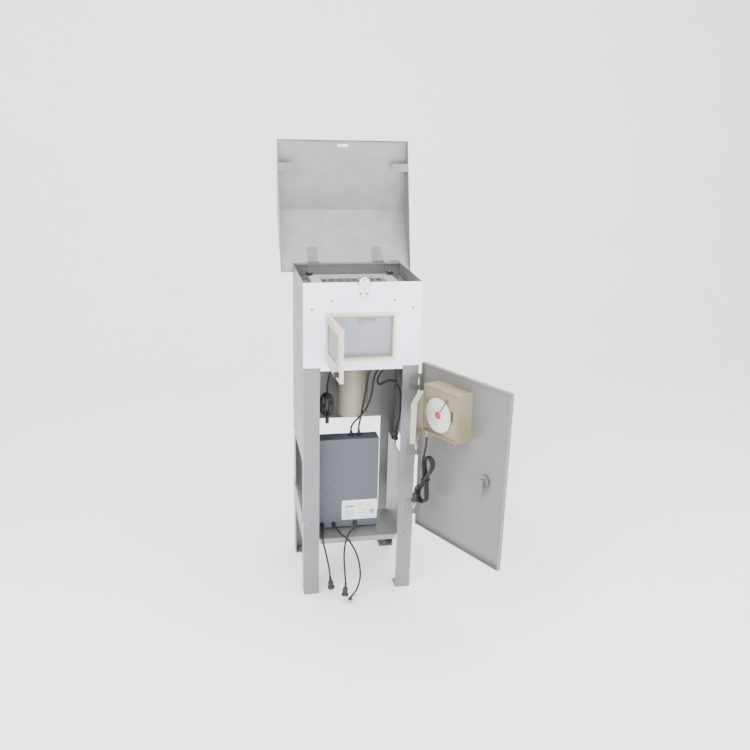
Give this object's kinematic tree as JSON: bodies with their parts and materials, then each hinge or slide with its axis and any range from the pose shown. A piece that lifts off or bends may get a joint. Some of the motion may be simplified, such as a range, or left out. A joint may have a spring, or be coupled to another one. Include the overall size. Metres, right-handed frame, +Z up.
{
  "type": "high-volume air sampler",
  "caption": "Upright sheet-metal shelter on corner legs with gabled lid, filter deck, blower, control box and chart recorder on its front door.",
  "frame": {"origin": "on the floor at the centre of the four anchor holes in the feet", "axes": "+Z up, -Y out of the front, +X to the right seen from the front"},
  "size_m": [0.6483, 0.8675, 1.5716],
  "materials": {
    "aluminium": "satin anodised sheet",
    "front_panel": "pale satin anodised sheet",
    "steel": "plated",
    "rubber": "matte",
    "blower_paint": "satin warm grey",
    "motor_iron": "varnished",
    "cream_paint": "satin cream",
    "plate": "brushed",
    "window": "smoked pane",
    "black_plastic": "moulded",
    "grey_paint": "hammered blue-grey",
    "cord": "soft sheath",
    "plug": "moulded",
    "chart_paper": "printed rings"
  },
  "bodies": {
    "shelter": {"leg_front_left": "aluminium", "leg_front_right": "aluminium", "leg_back_left": "aluminium", "leg_back_right": "aluminium", "front_panel": "front_panel", "side_panel_left": "aluminium", "side_panel_right": "aluminium", "back_panel": "aluminium", "side_rails": "aluminium", "controller_tray": "aluminium", "frame_screws": "steel", "catch_bracket": "steel", "hinge_bases": "steel", "filter_deck": "aluminium", "filter_gasket": "rubber", "filter_screen": "steel", "hold_down_frame": "aluminium", "bolt_brackets": "steel", "funnel": "aluminium", "blower_housing": "blower_paint", "motor_stator": "motor_iron", "motor_bearings": "steel", "control_box": "cream_paint", "control_plate": "plate", "flow_controller": "grey_paint", "flow_cover": "grey_paint", "cord_glands": "black_plastic", "motor_cord": "cord", "signal_cord": "cord", "outlet_cord": "cord", "hank_cord": "cord", "left_hank": "cord", "cord_a": "cord", "cord_b": "cord", "cord_c": "cord", "cord_ends": "plug"},
    "blower_rotor": {"motor_rotor": "motor_iron", "impeller": "aluminium"},
    "lid": {"lid_shell": "aluminium", "lid_hinge_leaves": "steel"},
    "front_door": {"door_panel": "front_panel", "recorder_case": "cream_paint", "recorder_cord": "cord", "recorder_hank": "cord", "recorder_plug": "plug"},
    "latch": {"door_latch": "steel"},
    "recorder_lid": {"recorder_door": "cream_paint"},
    "chart_drive": {"chart": "chart_paper"},
    "pen": {"pen_arm": "steel"},
    "control_lid": {"control_door": "cream_paint", "control_window": "window"},
    "control_latch": {"control_knob": "black_plastic"},
    "bolt_1": {"swing_bolt_1": "steel"},
    "knob_1": {"bolt_knob_1": "black_plastic"},
    "bolt_2": {"swing_bolt_2": "steel"},
    "knob_2": {"bolt_knob_2": "black_plastic"},
    "bolt_3": {"swing_bolt_3": "steel"},
    "knob_3": {"bolt_knob_3": "black_plastic"},
    "bolt_4": {"swing_bolt_4": "steel"},
    "knob_4": {"bolt_knob_4": "black_plastic"}
  },
  "joints": [
    {"name": "lid_hinge", "type": "hinge", "parent": "shelter", "child": "lid", "pos_m": [0, 0.182, 1.15], "axis": [1, 0, 0], "range_deg": [0, 104.25]},
    {"name": "front_door_hinge", "type": "hinge", "parent": "shelter", "child": "front_door", "pos_m": [0.202, -0.18, 0.56], "axis": [0, 0, -1], "range_deg": [0, 118]},
    {"name": "door_latch_turn", "type": "hinge", "parent": "front_door", "child": "latch", "pos_m": [0.34848, -0.45548, 0.545], "axis": [-0.8829, -0.4695, 0], "range_deg": [0, 90]},
    {"name": "recorder_door_hinge", "type": "hinge", "parent": "front_door", "child": "recorder_lid", "pos_m": [0.19253, -0.26998, 0.742], "axis": [0, 0, 1], "range_deg": [0, 52]},
    {"name": "chart_turn", "type": "hinge", "parent": "front_door", "child": "chart_drive", "pos_m": [0.23559, -0.319, 0.73], "axis": [-0.8829, -0.4695, 0], "continuous": true},
    {"name": "pen_swing", "type": "hinge", "parent": "front_door", "child": "pen", "pos_m": [0.25349, -0.35266, 0.78871], "axis": [-0.8829, -0.4695, 0], "range_deg": [-12, 12]},
    {"name": "control_door_hinge", "type": "hinge", "parent": "shelter", "child": "control_lid", "pos_m": [-0.115, -0.186, 0.965], "axis": [0, 0, 1], "range_deg": [0, 86]},
    {"name": "control_knob_turn", "type": "hinge", "parent": "control_lid", "child": "control_latch", "pos_m": [-0.1126, -0.39234, 0.906], "axis": [0.9976, 0.0698, 0], "range_deg": [0, 90]},
    {"name": "blower_spin", "type": "hinge", "parent": "shelter", "child": "blower_rotor", "pos_m": [0, 0, 0.7], "axis": [0, 0, 1], "continuous": true},
    {"name": "bolt_swing_1", "type": "hinge", "parent": "shelter", "child": "bolt_1", "pos_m": [-0.145, -0.105, 1.092], "axis": [0, -1, 0], "range_deg": [0, 35]},
    {"name": "knob_turn_1", "type": "hinge", "parent": "bolt_1", "child": "knob_1", "pos_m": [-0.145, -0.105, 1.122], "axis": [0, 0, 1], "continuous": true},
    {"name": "bolt_swing_2", "type": "hinge", "parent": "shelter", "child": "bolt_2", "pos_m": [0.145, -0.105, 1.092], "axis": [0, 1, 0], "range_deg": [0, 35]},
    {"name": "knob_turn_2", "type": "hinge", "parent": "bolt_2", "child": "knob_2", "pos_m": [0.145, -0.105, 1.122], "axis": [0, 0, 1], "continuous": true},
    {"name": "bolt_swing_3", "type": "hinge", "parent": "shelter", "child": "bolt_3", "pos_m": [-0.145, 0.105, 1.092], "axis": [0, -1, 0], "range_deg": [0, 35]},
    {"name": "knob_turn_3", "type": "hinge", "parent": "bolt_3", "child": "knob_3", "pos_m": [-0.145, 0.105, 1.122], "axis": [0, 0, 1], "continuous": true},
    {"name": "bolt_swing_4", "type": "hinge", "parent": "shelter", "child": "bolt_4", "pos_m": [0.145, 0.105, 1.092], "axis": [0, 1, 0], "range_deg": [0, 35]},
    {"name": "knob_turn_4", "type": "hinge", "parent": "bolt_4", "child": "knob_4", "pos_m": [0.145, 0.105, 1.122], "axis": [0, 0, 1], "continuous": true}
  ],
  "couplings": [
    {"joint": "recorder_door_hinge", "follows": "front_door_hinge", "ratio": 0.44068}
  ]
}
